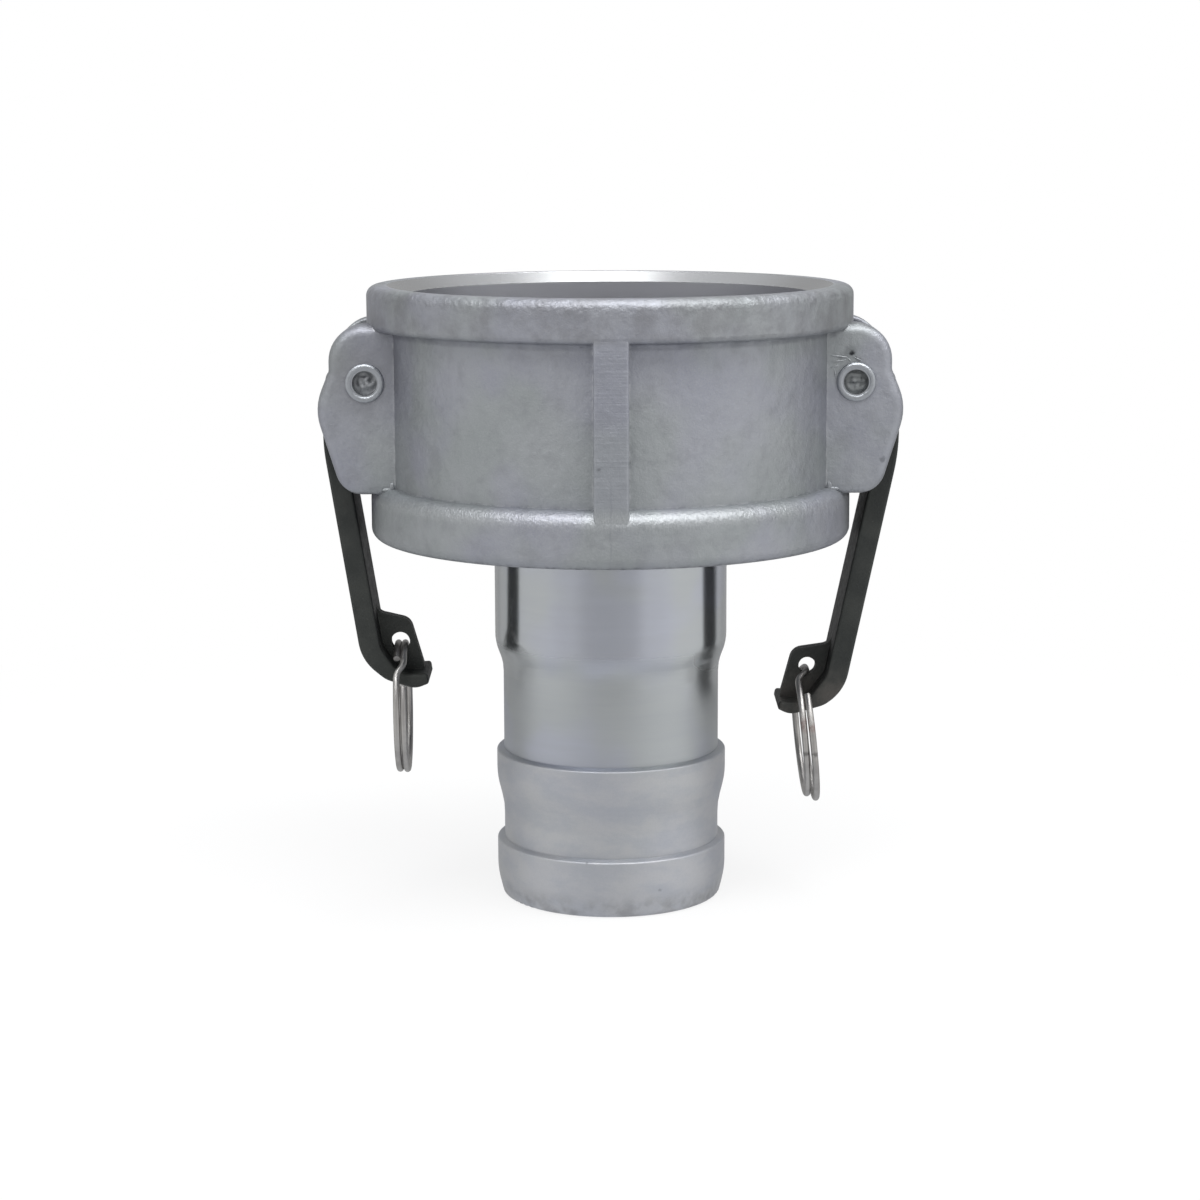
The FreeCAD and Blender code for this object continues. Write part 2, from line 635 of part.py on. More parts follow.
def make_lever(name, hand, side):
    """A cam lever in its own frame: the pin at the origin, the arm straight down, then tilted."""
    own = lever_sizes(hand)
    lever = new_body(name)

    def at(inset, drop):
        """A point by its distance in from the arm's outer face and down from the eye."""
        return ((own.arm_offset - inset) * side, -(own.reach + drop))

    heel = (s.heel_reach * side, s.heel_height)
    knee = (own.arm_offset * side, -s.knee_drop)
    ankle = (own.arm_offset * side, -(own.reach + own.ankle_drop))
    chin = at(own.chin_inset, s.chin_drop)
    ball = at(s.ball_inset, own.ball_drop)
    toe = at(own.foot_reach, own.sole_drop)
    toe_top = at(own.foot_reach, own.sole_drop - own.foot_thickness)
    instep = at(s.instep_inset, own.instep_drop)
    inner_curve = at(s.arm_thickness, own.instep_drop - own.instep_run)
    gusset = ((own.arm_offset - s.arm_thickness) * side, -s.gusset_drop)

    arm_sketch = sketch_on(lever, "XZ_Plane", name + "_arm_outline")
    add_outline(arm_sketch, (
        (0, s.heel_height), heel, knee, ankle, chin, ball, toe, toe_top, instep, inner_curve,
        gusset, (s.gusset_reach * side, -s.gusset_start),
    ))
    shape = pad(lever, arm_sketch, name + "_arm", s.lever_width, both_ways=True)
    for label, rounding, corner in (
        ("heel", s.heel_round, heel),
        ("knee", s.knee_round, knee),
        ("ankle", s.ankle_round, ankle),
        ("chin", s.chin_round, chin),
        ("ball", s.ball_round, ball),
        ("toe", s.toe_round, toe),
        ("toe_top", s.toe_round, toe_top),
        ("instep", s.instep_round, instep),
        ("inner_curve", s.instep_round, inner_curve),
    ):
        shape = round_edges(lever, shape, name + "_" + label, rounding, corner_at(*corner))
    half_width = s.lever_width / 2
    shape = round_edges(
        lever, shape, name + "_edges", s.arm_edge_round,
        lambda edge: on_side(half_width)(edge) or on_side(-half_width)(edge),
    )

    head_sketch = sketch_on(lever, "XZ_Plane", name + "_cam_outline")
    add_cam_outline(head_sketch, side)
    pad(lever, head_sketch, name + "_cam", (s.slot_half_width - s.lever_side_gap) * 2, both_ways=True)

    web_sketch = sketch_on(lever, "XZ_Plane", name + "_web_outline")
    web_corner = at(own.web_inset, -own.web_rise)
    half_arm = s.arm_thickness / 2
    half_foot = own.foot_thickness / 2
    add_outline(web_sketch, (
        at(half_arm, -(own.web_rise + s.web_root_rise)),
        web_corner,
        at(s.web_foot_inset, own.sole_drop - half_foot),
        at(s.instep_inset, own.instep_drop + half_foot),
        at(half_arm, own.instep_drop - own.instep_run),
    ))
    shape = pad(lever, web_sketch, name + "_web", s.web_thickness, both_ways=True)
    shape = round_edges(lever, shape, name + "_web_corner", s.web_corner_round, corner_at(*web_corner))
    inner_face = number_of(own.arm_offset - s.arm_thickness) * side

    def web_root(edge):
        box = edge.BoundBox
        centre = edge.CenterOfMass
        on_face = abs(centre.x - inner_face) < NEAR and box.XLength < NEAR and box.ZLength < NEAR
        return on_face and centre.z > -own.reach.number and box.YLength > NEAR

    round_edges(lever, shape, name + "_web_cove", s.web_cove, web_root)

    holes = sketch_on(lever, "XZ_Plane", name + "_holes")
    add_circle(holes, 0, 0, s.pin_radius + s.pin_lever_clearance)
    add_circle(holes, (own.arm_offset - s.eye_inset) * side, -own.reach, own.eye_radius)
    hole_through(lever, holes, name + "_bores")

    lever.Placement = Placement(Vector(), Rotation(Vector(0, side, 0), own.tilt.number))
    place_at(lever, pin_offset * side, 0, pin_height)
    lever.setExpression("Placement.Rotation.Angle", own.tilt.formula)
    return lever


lever_left = make_lever("lever_left", "left", -1)
lever_right = make_lever("lever_right", "right", 1)


def eye_centre(hand, side):
    """Where a lever holds the eye for its ring, at rest."""
    own = lever_sizes(hand)
    local = Vector(number_of(own.arm_offset - s.eye_inset) * side, 0, -own.reach.number)
    turned_eye = Rotation(Vector(0, side, 0), own.tilt.number).multVec(local)
    return turned_eye + Vector(pin_offset.number * side, 0, pin_height.number)


def arc_through(start, corner, end):
    """The arc that leaves start towards the corner and arrives at end from it."""
    middle = (start + end) * 0.5
    half_chord = (end - start).Length / 2
    run = (corner - start).Length
    cosine = min(1.0, half_chord / run)
    sine = math.sqrt(1.0 - cosine * cosine)
    depth = run * (1.0 - cosine) / sine
    on_arc = corner + (middle - corner).normalize() * depth
    return Part.Arc(start, on_arc, end).toShape()


def two_arcs(start, leaving, end, arriving):
    """Two arcs that join two points smoothly, given the directions at both."""
    gap = end - start
    both = leaving + arriving
    spread = 2.0 * (1.0 - leaving.dot(arriving))
    along = gap.dot(both)
    run = (math.sqrt(along * along + spread * gap.dot(gap)) - along) / spread
    first_corner = start + leaving * run
    second_corner = end - arriving * run
    joint = (first_corner + second_corner) * 0.5
    return [arc_through(start, first_corner, joint), arc_through(joint, second_corner, end)]


def ring_sizes(hand):
    """The numbers that differ between the two rings."""
    names = ("wire_start", "wire_end", "crossing_start", "crossing_end",
             "ring_bend", "ring_shift", "ring_lean", "ring_turn", "ring_splay", "ring_growth")
    return SimpleNamespace(**{name: getattr(s, hand + "_" + name).number for name in names})


def make_ring(name, hand, side):
    """A split ring: two turns side by side with one crossing, hung in the eye of its lever."""
    own = ring_sizes(hand)
    radius = s.ring_radius.number
    wire = s.wire_radius.number
    half_pitch = wire + s.turn_gap.number / 2

    # The ring hangs by the turns that reach its top; one that ends before it misses the eye
    room = lever_sizes(hand).eye_radius.number - wire - s.ring_eye_gap.number
    in_eye = [half_pitch + own.ring_bend]
    if own.wire_end > 0:
        in_eye.append(-half_pitch)
    farthest = max(abs(own.ring_shift + x) for x in in_eye)
    sag = radius - math.sqrt(radius * radius - (s.web_thickness.number / 2) ** 2)
    top = sag - math.sqrt(room * room - farthest * farthest)
    first_turn = (half_pitch, math.radians(own.ring_splay), radius + own.ring_growth)
    eye_turn = (half_pitch + own.ring_bend, *first_turn[1:])
    second_turn = (-half_pitch, 0.0, radius)

    def point(angle, turn):
        """A point on a turn, which leans by its own splay about the ring's top."""
        x, splay, turn_radius = turn
        swing = math.radians(angle)
        drop = turn_radius * (1 - math.cos(swing))
        return Vector(
            own.ring_shift + x + drop * math.sin(splay), -turn_radius * math.sin(swing),
            top - drop * math.cos(splay),
        )

    def heading(angle, turn):
        splay = turn[1]
        swing = math.radians(angle)
        return Vector(
            math.sin(swing) * math.sin(splay), -math.cos(swing), -math.sin(swing) * math.cos(splay)
        )

    def turn_arcs(start, end, turn):
        pieces = 4
        step = (end - start) / pieces
        arcs = []
        for piece in range(pieces):
            first = start + piece * step
            middle, last = point(first + step / 2, turn), point(first + step, turn)
            arcs.append(Part.Arc(point(first, turn), middle, last).toShape())
        return arcs

    def change_turn(start, turn, end, next_turn):
        """The way from one turn over to the next."""
        return two_arcs(
            point(start, turn), heading(start, turn),
            point(end, next_turn), heading(end, next_turn),
        )

    bend_start, bend_end = s.ring_bend_start.number, s.ring_bend_end.number
    path = turn_arcs(own.wire_start, bend_start, first_turn)
    path += change_turn(bend_start, first_turn, bend_end, eye_turn)
    path += turn_arcs(bend_end, 360 + own.crossing_start, eye_turn)
    path += change_turn(own.crossing_start, eye_turn, own.crossing_end, second_turn)
    path += turn_arcs(own.crossing_end, 360 + own.wire_end, second_turn)
    spine = Part.Wire(path)
    wire_end = Part.makeCircle(
        wire, point(own.wire_start, first_turn), heading(own.wire_start, first_turn)
    )
    ring = doc.addObject("Part::Feature", name)
    ring.Shape = spine.makePipeShell([Part.Wire(wire_end)], True, False)
    turned_ring = Rotation(Vector(0, 0, 1), own.ring_turn)
    leaning_ring = Rotation(Vector(0, -1, 0), own.ring_lean)
    ring.Placement = Placement(eye_centre(hand, side), turned_ring * leaning_ring)
    return ring


ring_left = make_ring("ring_left", "left", -1)
ring_right = make_ring("ring_right", "right", 1)

# Checks, then one file for each piece
pieces = (coupler_body, gasket, lever_left, lever_right, pin_left, pin_right, ring_left, ring_right)
doc.recompute()
for item in doc.Objects:
    if "Invalid" in item.State or "Error" in item.State:
        raise ValueError("%s failed: %s" % (item.Name, item.State))
os.makedirs("parts", exist_ok=True)
for piece in pieces:
    piece.Label = piece.Name
    shape = piece.Shape
    if shape.isNull() or not shape.isValid() or len(shape.Solids) != 1:
        raise ValueError("%s isn't one valid solid" % piece.Name)
    shape.exportStep("parts/%s.step" % piece.Label)
    print("%-14s %10.1f mm3" % (piece.Label, shape.Volume))
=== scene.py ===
import math
import random
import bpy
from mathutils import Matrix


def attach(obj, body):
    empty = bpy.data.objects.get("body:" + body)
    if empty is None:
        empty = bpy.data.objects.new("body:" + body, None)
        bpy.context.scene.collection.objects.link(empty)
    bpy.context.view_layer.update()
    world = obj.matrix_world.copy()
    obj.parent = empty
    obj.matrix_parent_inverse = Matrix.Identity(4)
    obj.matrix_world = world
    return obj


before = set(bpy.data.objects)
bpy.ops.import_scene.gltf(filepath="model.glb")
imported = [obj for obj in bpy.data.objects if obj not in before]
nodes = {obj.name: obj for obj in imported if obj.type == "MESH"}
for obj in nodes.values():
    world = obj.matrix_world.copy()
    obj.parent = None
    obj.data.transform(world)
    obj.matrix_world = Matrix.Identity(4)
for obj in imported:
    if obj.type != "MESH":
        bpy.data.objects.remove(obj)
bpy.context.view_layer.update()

from types import SimpleNamespace

import bpy
from mathutils import Matrix, Vector, noise

MM = 0.001

# Camera of the photograph, in millimetres and degrees
CAMERA_PLACE = (-2.445, -630.0, 178.5)
CAMERA_PITCH = 9.944
CAMERA_ROLL = -0.19
CAMERA_LENS = 83.78
SENSOR_WIDTH = 36.0

# Heights and radii of the casting that its finishes follow, in millimetres
BAND_BOTTOM = 83.5
BAND_TOP = 96.0
RIM_UNDERSIDE = 130.9
MOUTH = 140.2
COLLAR_FOOT = 58.9
BARB_TOPS = (12.9, 33.8)
SOCKET_RADIUS = 46.1
BARREL_RADIUS = 50.4
SHANK_LIMIT = 28.0
RIB_HALF = 3.75
EAR_ROOT = 45.0
EAR_FACE = 16.5
PIN_END = 17.0
PIN_OFFSET = 54.1
PIN_HEIGHT = 119.5
PIN_HOLE = 4.0
HOLLOW_RADIUS = 2.74
HOLLOW_FLOOR = 14.6
HOLLOW_DOME = 0.7

# Colours of the casting, as linear red, green, blue and alpha
CAST_GREENISH = (0.308, 0.331, 0.337, 1)
CAST_BLUISH = (0.312, 0.322, 0.372, 1)
CAST_CLOUD = (0.39, 0.402, 0.425, 1)
CAST_GRAIN = (0.43, 0.44, 0.456, 1)
CAST_BLOTCH = (0.23, 0.237, 0.255, 1)
CAST_RIB = (0.30, 0.31, 0.355, 1)
TURNED_GREENISH = (0.45, 0.472, 0.482, 1)
TURNED_BLUISH = (0.445, 0.465, 0.52, 1)
TURNED_STREAK = (0.40, 0.415, 0.45, 1)
BARB_DARK = (0.445, 0.46, 0.495, 1)
BARB_PALE = (0.515, 0.52, 0.532, 1)
BARB_STAIN = (0.25, 0.25, 0.26, 1)
SOCKET_WALL = (0.445, 0.45, 0.483, 1)
LEAD_IN = (0.475, 0.48, 0.485, 1)
# Painted shade in creases, steps and round the pins, also used for the dark line along the band's lower
# edge
SHADE_AND_DARK_EDGE = (0.11, 0.115, 0.135, 1)
SHADE = (0.2, 0.205, 0.22, 1)
EAR_STAIN = (0.21, 0.21, 0.22, 1)
RIM_SMUDGE = (0.2, 0.2, 0.21, 1)
PARTING_LINE = (0.15, 0.155, 0.18, 1)
# Worn bright edges, and a painted speckled highlight on the band's top
WORN_AND_HIGHLIT_METAL = (0.62, 0.63, 0.65, 1)
FLAW = (0.03, 0.032, 0.036, 1)

# Colours of levers, pins, rings and gasket
PAINT_DARK = (0.019, 0.0215, 0.0205, 1)
PAINT_LIGHT = (0.029, 0.0315, 0.029, 1)
PAINT_HANDLED = (0.062, 0.057, 0.052, 1)
# Painted shade on the levers' faces turned towards the shank
PAINTED_SHADE_INWARD = (0.005, 0.0055, 0.0055, 1)
PAINT_EDGE = (0.13, 0.13, 0.12, 1)
PAINT_SPECK = (0.10, 0.10, 0.095, 1)
PIN_DARK = (0.345, 0.362, 0.388, 1)
PIN_LIGHT = (0.44, 0.46, 0.485, 1)
PIN_HOLLOW = (0.30, 0.31, 0.325, 1)
PUNCHED_DARK = (0.33, 0.34, 0.355, 1)
PUNCHED_LIGHT = (0.43, 0.445, 0.46, 1)
PUNCHED_RIGHT = (0.21, 0.225, 0.22, 1)
WIRE_DARK = (0.36, 0.35, 0.34, 1)
WIRE_LIGHT = (0.47, 0.46, 0.445, 1)
WIRE_RUSTY = (0.24, 0.15, 0.14, 1)
WIRE_SPOT = (0.06, 0.058, 0.055, 1)
RUBBER = (0.014, 0.014, 0.014, 1)
RUBBER_BLOOM = (0.032, 0.032, 0.031, 1)

# Colours and brightness round the object
WHITE = (1, 1, 1, 1)
FLOOR_PAINT = (0.82, 0.82, 0.82, 1)
STUDIO_ABOVE = (0.72, 0.73, 0.75, 1)

# Brightness of the studio's walls by the angle from the front, in degrees, negative on the left
STUDIO = (
    (-180, 0.40), (-150, 0.45), (-134, 0.62), (-124, 0.70), (-120, 0.33), (-108, 0.33), (-104, 0.86),
    (-70, 0.88), (-43, 0.79), (-18, 0.61), (0, 0.60), (18, 0.64), (39, 0.88), (70, 0.97), (107, 0.95),
    (111, 0.19), (127, 0.19), (132, 0.66), (150, 0.45), (180, 0.40),
)

# Place, radius and darkness of the casting's flaws, in millimetres: pits in the right front ear,
# spots on band and rib, a nick and a dent in the lower barb, and two spots on the back
FLAWS = (
    ((53.14, -16.5, 125.81), 0.5, 1.0),
    ((52.7, -16.5, 126.1), 1.3, 0.3),
    ((54.0, -16.5, 124.9), 0.3, 0.6),
    ((54.6, -16.5, 124.3), 0.45, 0.35),
    ((50.6, -16.5, 124.9), 0.6, 0.25),
    ((60.17, -16.5, 102.33), 0.6, 0.4),
    ((40.92, -33.7, 96.2), 0.55, 0.7),
    ((39.2, -35.7, 96.2), 0.4, 0.5),
    ((-2.6, -54.0, 104.94), 0.5, 0.35),
    ((-5.68, -25.7, 13.1), 0.4, 0.45),
    ((10.83, -24.0, 6.02), 0.4, 0.25),
    ((-38.0, 35.0, 92.0), 0.5, 0.5),
    ((22.0, 49.5, 88.0), 0.4, 0.5),
)

# Place and half sizes of the lumps of flash at an ear's foot, in millimetres
FLASH = (
    ((48.4, 16.5, 96.4), (0.6, 0.25, 1.0)),
    ((49.4, 16.45, 95.8), (1.2, 0.25, 0.45)),
)

# Radius and height over the pin's end of the staked lip's profile, in millimetres
LIP = (
    (2.66, -0.9), (2.7, -0.45), (2.84, -0.2), (3.02, -0.03), (3.22, 0.1), (3.48, 0.16), (3.8, 0.13),
    (4.06, 0.02), (4.24, -0.2), (4.33, -0.42), (4.34, -0.5),
)
LIP_CROWN = 3.5

# Chisel marks beside the right front pin: start and end across and up, half width and height
CHISEL_MARKS = (
    ((48.2, 125.3), (52.2, 124.9), 0.26, 0.26),
    ((48.4, 123.9), (51.9, 124.3), 0.24, 0.22),
    ((48.3, 122.6), (50.4, 123.2), 0.24, 0.18),
    ((49.2, 122.6), (49.7, 119.9), 0.24, 0.2),
    ((53.3, 125.0), (55.4, 124.0), 0.3, 0.3),
    ((52.1, 124.7), (53.1, 123.9), 0.22, 0.24),
)

# The ears' outer faces and pin ends: name, side along X and side along Y
CORNERS = (("front_left", -1, -1), ("back_left", -1, 1), ("front_right", 1, -1), ("back_right", 1, 1))


# Node graphs

class Graph:
    """A node tree, with short calls for what the materials need."""

    def __init__(self, tree):
        self.tree = tree
        tree.nodes.clear()

    def add(self, kind, values=(), **settings):
        """A node with its settings and the values or links of its inputs."""
        node = self.tree.nodes.new(kind)
        for name, value in settings.items():
            setattr(node, name, value)
        for key, value in dict(values).items():
            self.join(node.inputs[key], value)
        return node

    def join(self, socket, value):
        if isinstance(value, bpy.types.NodeSocket):
            self.tree.links.new(value, socket)
        else:
            socket.default_value = value

    def math(self, operation, *values, clamp=False):
        node = self.add("ShaderNodeMath", enumerate(values), operation=operation, use_clamp=clamp)
        return node.outputs[0]

    def times(self, first, *others):
        """The product of two or more numbers."""
        for other in others:
            first = self.math("MULTIPLY", first, other)
        return first

    def plus(self, first, *others):
        """The sum of two or more numbers."""
        for other in others:
            first = self.math("ADD", first, other)
        return first

    def most(self, first, *others):
        """The largest of two or more numbers."""
        for other in others:
            first = self.math("MAXIMUM", first, other)
        return first

    def less(self, first, second):
        return self.math("SUBTRACT", first, second)

    def size(self, value):
        return self.math("ABSOLUTE", value)

    def vector(self, operation, *values, scale=None):
        node = self.add("ShaderNodeVectorMath", enumerate(values), operation=operation)
        if scale is not None:
            node.inputs["Scale"].default_value = scale
        return node

    def length(self, across, up):
        """The length of a step across and a step up."""
        step = self.add("ShaderNodeCombineXYZ", {"X": across, "Y": up}).outputs[0]
        return self.vector("LENGTH", step).outputs["Value"]

    def ramp(self, value, start, end, low=0.0, high=1.0):
        """A smooth step from low to high while the value goes from start to end."""
        node = self.add("ShaderNodeMapRange", interpolation_type="SMOOTHSTEP")
        for socket, number in zip(node.inputs[:5], (value, start, end, low, high)):
            self.join(socket, number)
        return node.outputs[0]

    def fall(self, value, start, end):
        """A smooth step from one to zero while the value goes from start to end."""
        return self.ramp(value, start, end, 1.0, 0.0)

    def band(self, value, start, end, soft):
        """One between start and end, and zero outside."""
        return self.times(
            self.ramp(value, start - soft, start + soft), self.fall(value, end - soft, end + soft)
        )

    def noise(self, place, scale, detail=3.0, roughness=0.5):
        values = {"Vector": place, "Scale": scale, "Detail": detail, "Roughness": roughness}
        return self.add("ShaderNodeTexNoise", values).outputs["Fac"]

    def mix(self, factor, first, second):
        """A colour between two colours."""
        node = self.add("ShaderNodeMix", data_type="RGBA")
        for index, value in ((0, factor), (6, first), (7, second)):
            self.join(node.inputs[index], value)
        return node.outputs[2]

    def blend(self, factor, first, second):
        """A number between two numbers."""
        node = self.add("ShaderNodeMix", data_type="FLOAT")
        for index, value in ((0, factor), (2, first), (3, second)):
            self.join(node.inputs[index], value)
        return node.outputs[0]

    def bump(self, height):
        """A normal from a height in millimetres."""
        values = {"Height": height, "Distance": MM, "Strength": 1.0}
        return self.add("ShaderNodeBump", values).outputs[0]

    def place(self):
        """The place on the object, in millimetres."""
        coordinates = self.add("ShaderNodeTexCoord").outputs["Object"]
        return self.vector("SCALE", coordinates, scale=1 / MM).outputs["Vector"]

    def split(self, place):
        return self.add("ShaderNodeSeparateXYZ", {"Vector": place}).outputs

    def stretched(self, place, factors):
        """The place, scaled by its own factor along each axis."""
        return self.vector("MULTIPLY", place, factors).outputs["Vector"]

    def shifted(self, place, shift):
        return self.vector("ADD", place, shift).outputs["Vector"]

    def wobbled(self, place, scale, reach):
        """The place, shifted unevenly by up to half the reach along each axis."""
        values = {"Vector": place, "Scale": scale, "Detail": 3.0}
        swirl = self.add("ShaderNodeTexNoise", values).outputs["Color"]
        shift = self.vector("SUBTRACT", swirl, (0.5, 0.5, 0.5)).outputs["Vector"]
        shift = self.vector("SCALE", shift, scale=reach).outputs["Vector"]
        return self.shifted(place, shift)

    def near(self, place, point, radius, soft):
        """One within a radius of a point."""
        distance = self.vector("DISTANCE", place, point).outputs["Value"]
        return self.fall(distance, radius - soft, radius + soft)

    def edges(self, width, gain):
        """One on outer edges that a tool or a hand would wear."""
        rounded = self.add("ShaderNodeBevel", {"Radius": width * MM}, samples=4).outputs[0]
        flat = self.add("ShaderNodeNewGeometry").outputs["Normal"]
        aligned = self.vector("DOT_PRODUCT", rounded, flat).outputs["Value"]
        return self.math("MULTIPLY", self.less(1.0, aligned), gain, clamp=True)

    def finish(self, **values):
        """The surface shader and the output. Plain values go on the shader's own sockets."""
        named = {name.replace("_", " "): value for name, value in values.items()}
        shader = self.add("ShaderNodeBsdfPrincipled", named)
        self.add("ShaderNodeOutputMaterial", {"Surface": shader.outputs[0]})


def new_material(name):
    material = bpy.data.materials.new(name)
    material.use_nodes = True
    return material, Graph(material.node_tree)


def from_pins(g, x, z):
    """The distance from the nearer pin's axis, in millimetres."""
    return g.length(g.less(g.size(x), PIN_OFFSET), g.less(z, PIN_HEIGHT))


# The casting's finishes

def casting_areas(g, place):
    """Coordinates on the casting, and shares from zero to one of the areas with their own finish."""
    x, y, z = g.split(place)
    radius = g.length(x, y)
    turned = g.times(
        g.fall(z, BAND_BOTTOM - 0.15, BAND_BOTTOM + 0.05), g.fall(radius, SHANK_LIMIT, SHANK_LIMIT + 0.4)
    )
    collar = g.times(turned, g.ramp(z, COLLAR_FOOT - 0.2, COLLAR_FOOT + 2.0))
    barbs = g.times(turned, g.fall(z, BARB_TOPS[1] - 0.3, BARB_TOPS[1] + 0.6))
    socket = g.times(
        g.fall(radius, SOCKET_RADIUS + 0.1, SOCKET_RADIUS + 0.3), g.ramp(z, BAND_TOP - 1.0, BAND_TOP - 0.8)
    )
    lead_in = g.times(
        g.fall(radius, BARREL_RADIUS - 0.6, BARREL_RADIUS - 0.2), g.ramp(z, MOUTH - 2.5, MOUTH - 2.3)
    )
    rib = g.times(g.band(x, -RIB_HALF, RIB_HALF, 0.1), g.band(z, BAND_TOP, RIM_UNDERSIDE, 2.0))
    rim = g.times(
        g.ramp(z, RIM_UNDERSIDE - 0.4, RIM_UNDERSIDE + 0.8), g.less(1.0, lead_in),
        g.ramp(radius, BARREL_RADIUS - 0.2, BARREL_RADIUS + 0.4),
    )
    return SimpleNamespace(
        x=x, y=y, z=z, radius=radius, turned=turned, collar=collar, barbs=barbs, socket=socket,
        lead_in=lead_in, rib=rib, rim=rim, unturned=g.less(1.0, turned),
    )


def casting_colour(g, place, grain, area):
    """Cool greys in large soft clouds with a fine grain, and brighter ones where it is machined."""
    clouds = g.noise(place, 0.06)
    tints = g.ramp(g.noise(g.shifted(place, (40, 90, 10)), 0.045, detail=2.0), 0.4, 0.6)
    blotches = g.noise(place, 0.2, detail=5.0, roughness=0.6)
    cast = g.mix(tints, CAST_GREENISH, CAST_BLUISH)
    cast = g.mix(g.ramp(clouds, 0.35, 0.65, 0.0, 0.45), cast, CAST_CLOUD)
    cast = g.mix(g.ramp(grain, 0.35, 0.7, 0.0, 0.42), cast, CAST_GRAIN)
    cast = g.mix(g.ramp(blotches, 0.48, 0.68, 0.0, 0.26), cast, CAST_BLOTCH)
    cast = g.mix(g.times(area.rib, 0.45), cast, CAST_RIB)

    streaks = g.noise(g.stretched(place, (0.05, 0.05, 0.5)), 1.0, detail=4.0, roughness=0.65)
    bright = g.mix(tints, TURNED_GREENISH, TURNED_BLUISH)
    bright = g.mix(g.ramp(streaks, 0.35, 0.7, 0.0, 0.25), bright, TURNED_STREAK)
    colour = g.mix(area.turned, cast, bright)

    mottles = g.noise(g.stretched(place, (0.7, 0.7, 1.6)), 0.13, detail=5.0, roughness=0.65)
    pale = g.mix(g.ramp(mottles, 0.34, 0.64), BARB_DARK, BARB_PALE)
    colour = g.mix(g.times(area.barbs, 0.75), colour, pale)
    stains = g.ramp(g.noise(place, 0.3, detail=5.0), 0.35, 0.65)
    stains = g.times(area.barbs, g.ramp(area.z, 1.5, 6.0, 0.5, 0.0), stains)
    colour = g.mix(stains, colour, BARB_STAIN)
    colour = g.mix(area.socket, colour, SOCKET_WALL)
    return g.mix(area.lead_in, colour, LEAD_IN)


def casting_shade_and_dark_edge(g, place, area):
    """Painted shade in the steps under the rim and over the band, round the pins and on top of the barbs,
    and an uneven dark line along the band's lower edge.
    """
    # Painted shade: a soft dark line in the crease under the rim's overhang and in the step over the band
    under_rim = g.times(
        g.band(area.z, RIM_UNDERSIDE - 1.5, RIM_UNDERSIDE + 0.1, 0.5),
        g.fall(area.radius, BARREL_RADIUS + 1.4, BARREL_RADIUS + 2.6),
    )
    over_band = g.times(
        g.band(area.z, BAND_TOP - 0.6, BAND_TOP + 0.5, 0.3),
        g.fall(area.radius, BARREL_RADIUS + 0.5, BARREL_RADIUS + 1.6), 0.2,
    )
    patchy = g.ramp(g.noise(place, 0.25), 0.3, 0.65, 0.25, 0.5)
    painted_shade = g.times(g.most(under_rim, over_band), patchy)
    # Painted shadow: a thin dark ring on the ear round each pin's staked lip
    round_pin = g.times(
        g.band(from_pins(g, area.x, area.z), PIN_HOLE, PIN_HOLE + 0.75, 0.2),
        g.ramp(g.size(area.y), EAR_FACE - 0.5, EAR_FACE - 0.1), 0.12,
    )
    painted_shade = g.most(painted_shade, round_pin)
    # Painted shade in the step just above each barb's top
    for top in BARB_TOPS:
        painted_shade = g.most(painted_shade, g.times(area.turned, g.band(area.z, top + 0.1, top + 0.7, 0.12), 0.12))
    gritty = g.ramp(g.noise(place, 0.6, detail=4.0, roughness=0.6), 0.42, 0.64, 0.1, 0.6)
    low_edge = g.times(g.band(area.z, BAND_BOTTOM - 0.5, BAND_BOTTOM + 0.7, 0.5), area.unturned)
    return g.most(painted_shade, g.times(low_edge, gritty))


def casting_marks(g, place, colour, area):
    """The colour with shade beside the ears, stains, the mould's parting line and casting flaws."""
    beside_ears = g.times(
        g.band(g.size(area.x), EAR_ROOT - 3.5, EAR_ROOT + 3.5, 2.6),
        g.band(area.radius, BARREL_RADIUS - 0.4, BARREL_RADIUS + 0.15, 0.1),
        g.band(area.z, BAND_TOP, RIM_UNDERSIDE, 1.0), 0.1,
    )
    colour = g.mix(beside_ears, colour, SHADE)
    stain = g.near(g.wobbled(place, 0.12, 8.0), (-54.5, -EAR_FACE, 122.5), 8.5, 6.5)
    colour = g.mix(g.times(stain, 0.46), colour, EAR_STAIN)
    smudges = g.ramp(g.noise(place, 0.17, detail=6.0, roughness=0.65), 0.38, 0.66, 0.1, 0.5)
    colour = g.mix(g.times(area.rim, smudges), colour, RIM_SMUDGE)

    wandering = g.plus(area.x, g.times(g.noise(place, 0.2), 1.2), -0.6)
    parting = g.times(
        g.band(wandering, -0.3, 0.1, 0.16), g.band(area.z, BAND_BOTTOM + 2.5, BAND_TOP + 6.0, 2.5),
        g.ramp(area.radius, BARREL_RADIUS - 2.0, BARREL_RADIUS - 1.0), 0.16,
    )
    return g.mix(parting, colour, PARTING_LINE)


def casting_wear_and_highlight(g, place, grain, area, wear):
    """How far edges are worn bright, and how far the top of the band is worn bright and painted with a
    speckled highlight.
    """
    patches = g.ramp(g.noise(place, 0.55, detail=5.0), 0.38, 0.6)
    worn = g.times(g.edges(1.2, 3.4), patches, area.unturned)
    # Painted highlight, partly wear: the band's top rounding lightened in speckles all round
    buffed_and_highlit = g.times(
        g.band(area.z, BAND_TOP - 3.4, BAND_TOP - 0.4, 1.2), g.ramp(grain, 0.35, 0.7, 0.1, 0.5),
        g.ramp(area.radius, BARREL_RADIUS + 0.5, BARREL_RADIUS + 1.2),
    )
    return g.times(g.most(worn, buffed_and_highlit), wear)


